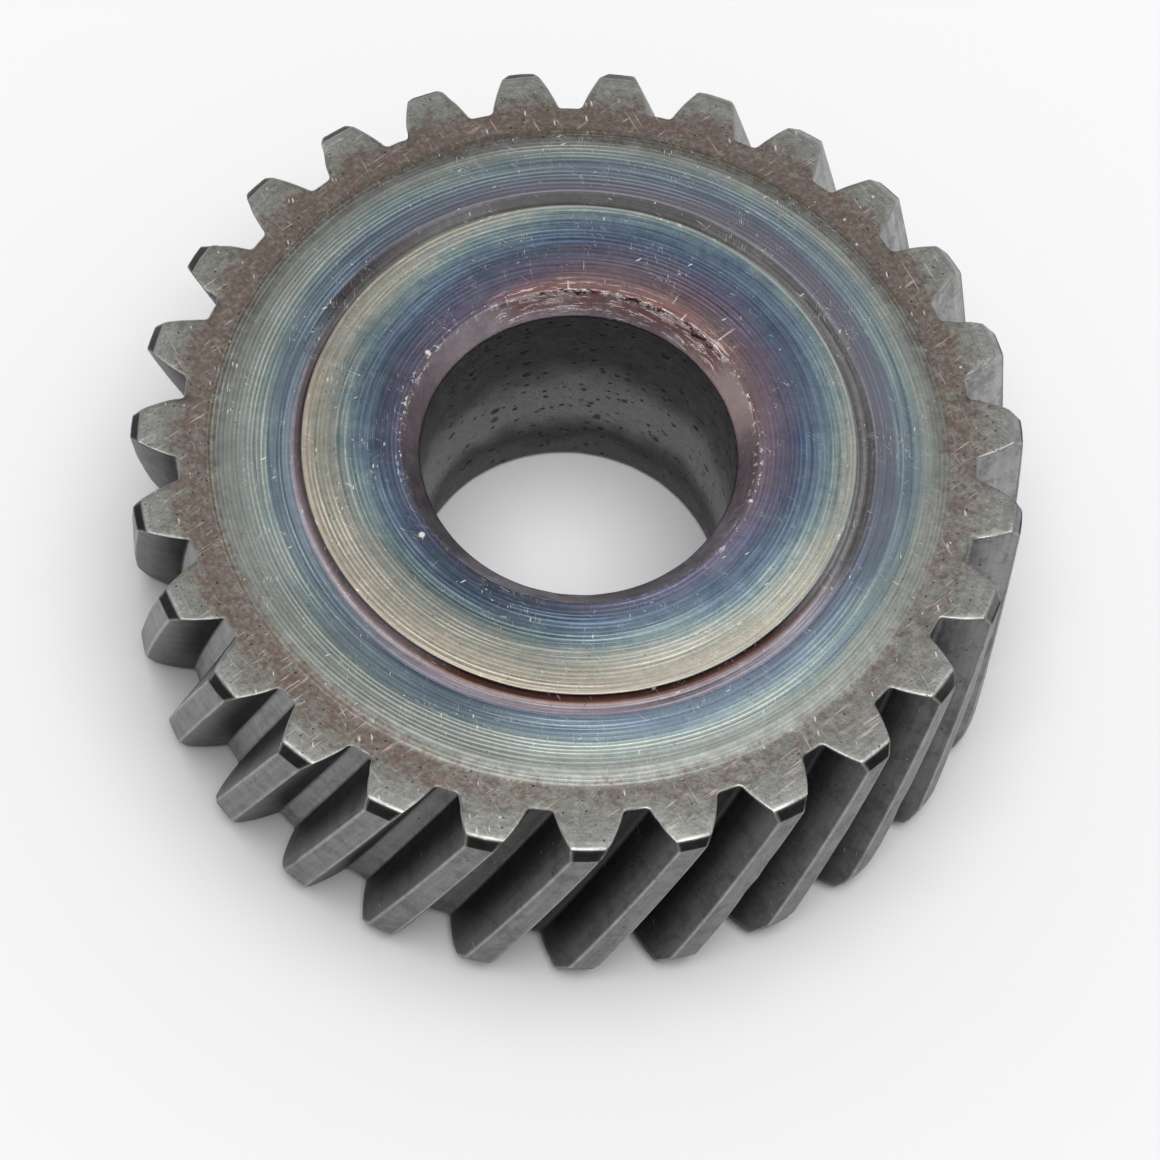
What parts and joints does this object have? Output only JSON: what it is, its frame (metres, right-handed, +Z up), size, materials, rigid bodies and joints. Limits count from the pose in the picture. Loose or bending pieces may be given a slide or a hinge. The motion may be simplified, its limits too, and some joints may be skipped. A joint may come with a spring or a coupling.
{
  "type": "helical gear",
  "caption": "Right-hand helical gear in one piece, with stub teeth across a cylindrical rim, a low turned hub face on each side and a plain chamfered bore.",
  "frame": {"origin": "centre of the bore in the plane of the lower hub face, on which the gear rests", "axes": "+Z up along the bore axis; +X through the middle of a tooth in the plane of the lower hub face"},
  "size_m": [0.0452, 0.0452, 0.0159],
  "materials": {
    "heat_tinted_steel": "turned and hobbed steel, darkened in heat treatment, with blue, violet and straw heat tints on the turned faces and brown stain round the tooth roots"
  },
  "bodies": {
    "root": {"helical_gear": "heat_tinted_steel"}
  },
  "joints": []
}
